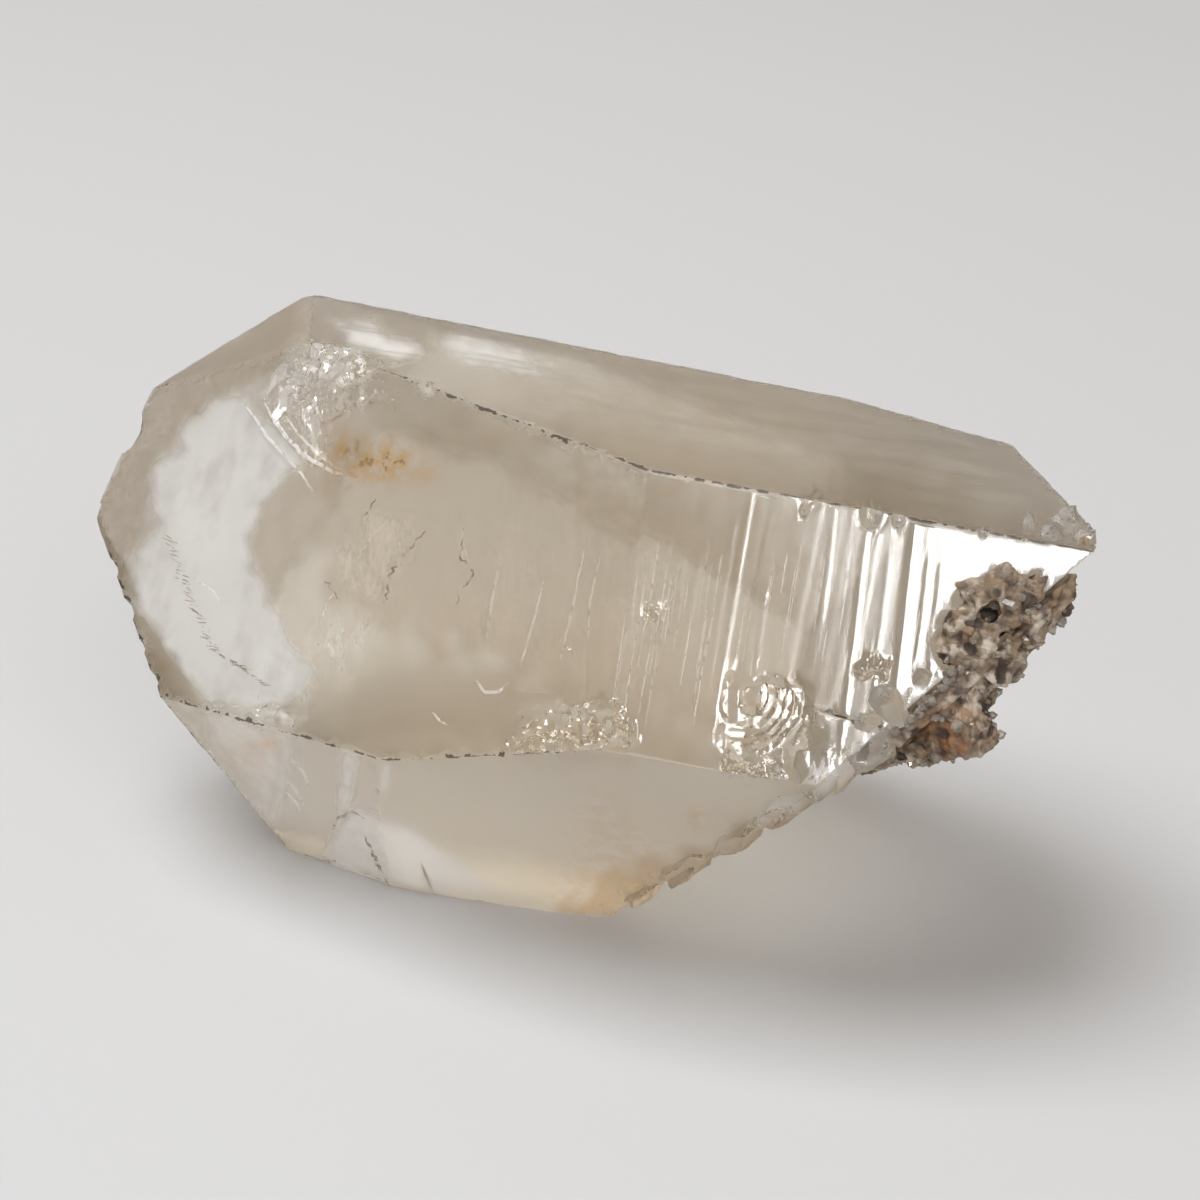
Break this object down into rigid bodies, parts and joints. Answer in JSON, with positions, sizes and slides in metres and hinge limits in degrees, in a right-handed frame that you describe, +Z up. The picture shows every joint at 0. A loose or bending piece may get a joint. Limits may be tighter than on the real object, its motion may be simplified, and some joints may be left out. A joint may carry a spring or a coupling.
{
  "type": "phantom quartz crystal",
  "caption": "Clear, slightly smoky quartz crystal lying on one side, with a broken tip and stained matrix on its root.",
  "frame": {"origin": "middle of the whole specimen seen from above, at the level of the surface it rests on", "axes": "+X along the specimen from its broken tip to its root, +Z up, -Y toward the viewer of the picture"},
  "size_m": [0.0662, 0.0436, 0.0356],
  "materials": {
    "clear_quartz": "clear natural crystal faces and shell-like fractures",
    "stained_matrix": "rough, iron-stained, sparkling with small crystals"
  },
  "bodies": {
    "root": {"quartz_crystal": "clear_quartz", "matrix_crust": "stained_matrix"}
  },
  "joints": []
}
